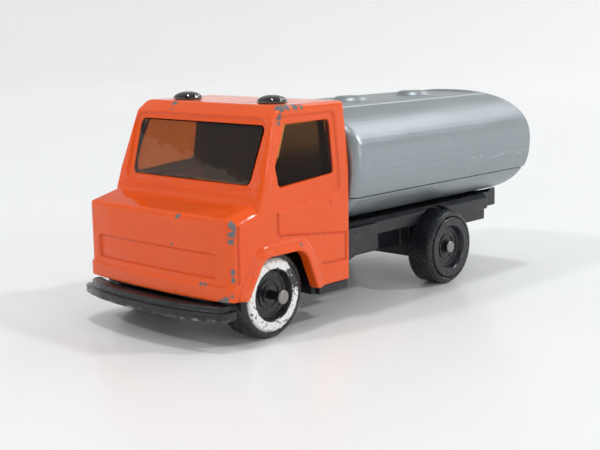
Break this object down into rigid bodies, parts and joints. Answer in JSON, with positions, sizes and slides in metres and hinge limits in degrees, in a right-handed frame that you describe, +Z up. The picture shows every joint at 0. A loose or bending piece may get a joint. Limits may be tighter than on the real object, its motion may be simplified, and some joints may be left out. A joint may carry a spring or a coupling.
{
  "type": "toy tanker truck",
  "caption": "Toy tanker truck with a boxy forward-control cab, tinted windows, roof beacons, a wide round-sided tank with a walkway, a flat base with a bumper, and free-rolling wheels.",
  "frame": {"origin": "on the ground under the middle of the truck's length and width", "axes": "+Z up, -Y towards the front of the truck, +X towards the truck's left side"},
  "size_m": [0.0318, 0.0732, 0.0317],
  "materials": {
    "orange_paint": "gloss enamel, chipped at the edges",
    "smoked_amber": "clear tinted",
    "silver_plastic": "satin silver",
    "silver_plastic_lower": "satin silver",
    "base_plastic": "satin black",
    "rivet_steel": "dull",
    "axle_steel": "dull",
    "wheel_front": "black with a worn white ring",
    "wheel_rear": "satin black"
  },
  "bodies": {
    "truck": {"cab": "orange_paint", "glazing": "smoked_amber", "tank_upper": "silver_plastic", "tank_lower": "silver_plastic_lower", "chassis": "base_plastic", "cab_rivet": "rivet_steel", "tank_rivets": "rivet_steel"},
    "front_axle": {"axle_front": "axle_steel"},
    "rear_axle": {"axle_rear": "axle_steel"},
    "front_left": {"wheel_front_left": "wheel_front"},
    "front_right": {"wheel_front_right": "wheel_front"},
    "rear_left": {"wheel_rear_left": "wheel_rear"},
    "rear_right": {"wheel_rear_right": "wheel_rear"}
  },
  "joints": [
    {"name": "front_axle_spin", "type": "hinge", "parent": "truck", "child": "front_axle", "pos_m": [0, -0.02485, 0.00586], "axis": [1, 0, 0], "continuous": true},
    {"name": "rear_axle_spin", "type": "hinge", "parent": "truck", "child": "rear_axle", "pos_m": [0, 0.01601, 0.00586], "axis": [1, 0, 0], "continuous": true},
    {"name": "front_left_spin", "type": "hinge", "parent": "front_axle", "child": "front_left", "pos_m": [0.0118, -0.02485, 0.00586], "axis": [1, 0, 0], "continuous": true},
    {"name": "front_right_spin", "type": "hinge", "parent": "front_axle", "child": "front_right", "pos_m": [-0.0118, -0.02485, 0.00586], "axis": [1, 0, 0], "continuous": true},
    {"name": "rear_left_spin", "type": "hinge", "parent": "rear_axle", "child": "rear_left", "pos_m": [0.0118, 0.01601, 0.00586], "axis": [1, 0, 0], "continuous": true},
    {"name": "rear_right_spin", "type": "hinge", "parent": "rear_axle", "child": "rear_right", "pos_m": [-0.0118, 0.01601, 0.00586], "axis": [1, 0, 0], "continuous": true}
  ]
}
